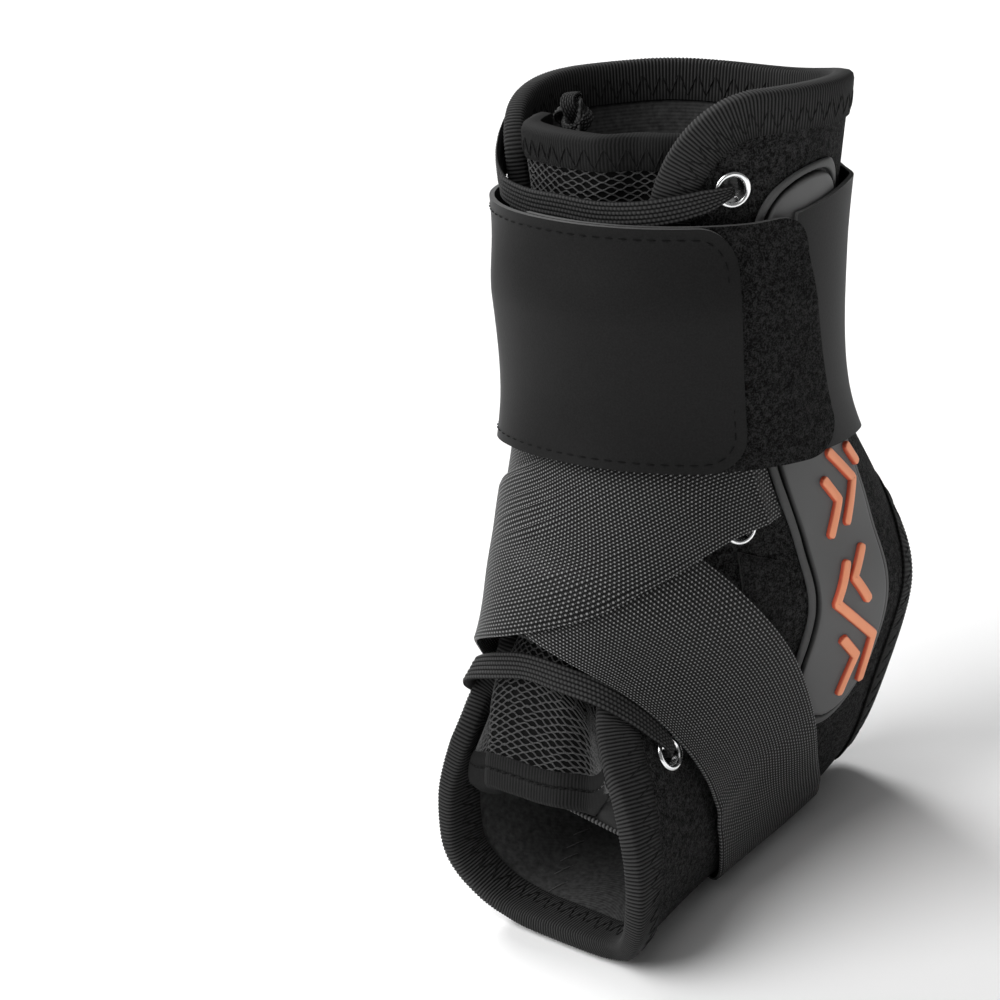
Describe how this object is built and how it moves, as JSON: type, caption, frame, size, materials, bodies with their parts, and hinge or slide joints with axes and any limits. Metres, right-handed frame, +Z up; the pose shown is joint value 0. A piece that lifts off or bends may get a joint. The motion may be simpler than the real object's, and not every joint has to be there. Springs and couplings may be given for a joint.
{
  "type": "lace-up ankle brace",
  "caption": "Padded lace-up ankle brace with open heel and toes, crossing stirrup straps, moulded side stays and a hook-and-loop cuff, standing empty on its sole.",
  "frame": {"origin": "on the floor under the middle of the overall box", "axes": "+Z up from the sole, -Y towards the toes, +X towards the outer side of the foot"},
  "size_m": [0.1012, 0.1508, 0.2294],
  "materials": {
    "shell_cloth": "matte brushed knit over foam",
    "tape": "ribbed elastic binding tape",
    "mesh_cloth": "spacer mesh",
    "lace_cloth": "flat woven polyester lace",
    "strap_cloth": "woven nylon webbing, slight sheen",
    "band_cloth": "smooth elastic laminate",
    "loop_cloth": "brushed loop pile",
    "stay_rubber": "moulded, satin",
    "chevron_rubber": "moulded, orange",
    "eyelet_metal": "polished plating"
  },
  "bodies": {
    "root": {"shell": "shell_cloth", "edge_binding": "tape", "heel_binding": "tape", "tongue_pad": "mesh_cloth", "tongue_top_binding": "tape", "tongue_toe_binding": "tape", "lace": "lace_cloth", "eyelet_outer_1": "eyelet_metal", "eyelet_outer_2": "eyelet_metal", "eyelet_outer_3": "eyelet_metal", "eyelet_outer_4": "eyelet_metal", "eyelet_outer_5": "eyelet_metal", "eyelet_outer_6": "eyelet_metal", "stay_outer": "stay_rubber", "chevron_outer_1": "chevron_rubber", "chevron_outer_2": "chevron_rubber", "chevron_outer_3": "chevron_rubber", "chevron_outer_4": "chevron_rubber", "chevron_outer_5": "chevron_rubber", "chevron_outer_6": "chevron_rubber", "patch_outer": "loop_cloth", "strap_outer": "strap_cloth", "eyelet_inner_1": "eyelet_metal", "eyelet_inner_2": "eyelet_metal", "eyelet_inner_3": "eyelet_metal", "eyelet_inner_4": "eyelet_metal", "eyelet_inner_5": "eyelet_metal", "eyelet_inner_6": "eyelet_metal", "stay_inner": "stay_rubber", "chevron_inner_1": "chevron_rubber", "chevron_inner_2": "chevron_rubber", "chevron_inner_3": "chevron_rubber", "chevron_inner_4": "chevron_rubber", "chevron_inner_5": "chevron_rubber", "chevron_inner_6": "chevron_rubber", "patch_inner": "loop_cloth", "strap_inner": "strap_cloth", "cuff_band": "band_cloth", "cuff_loop_panel": "loop_cloth", "cuff_flap": "band_cloth"}
  },
  "joints": []
}
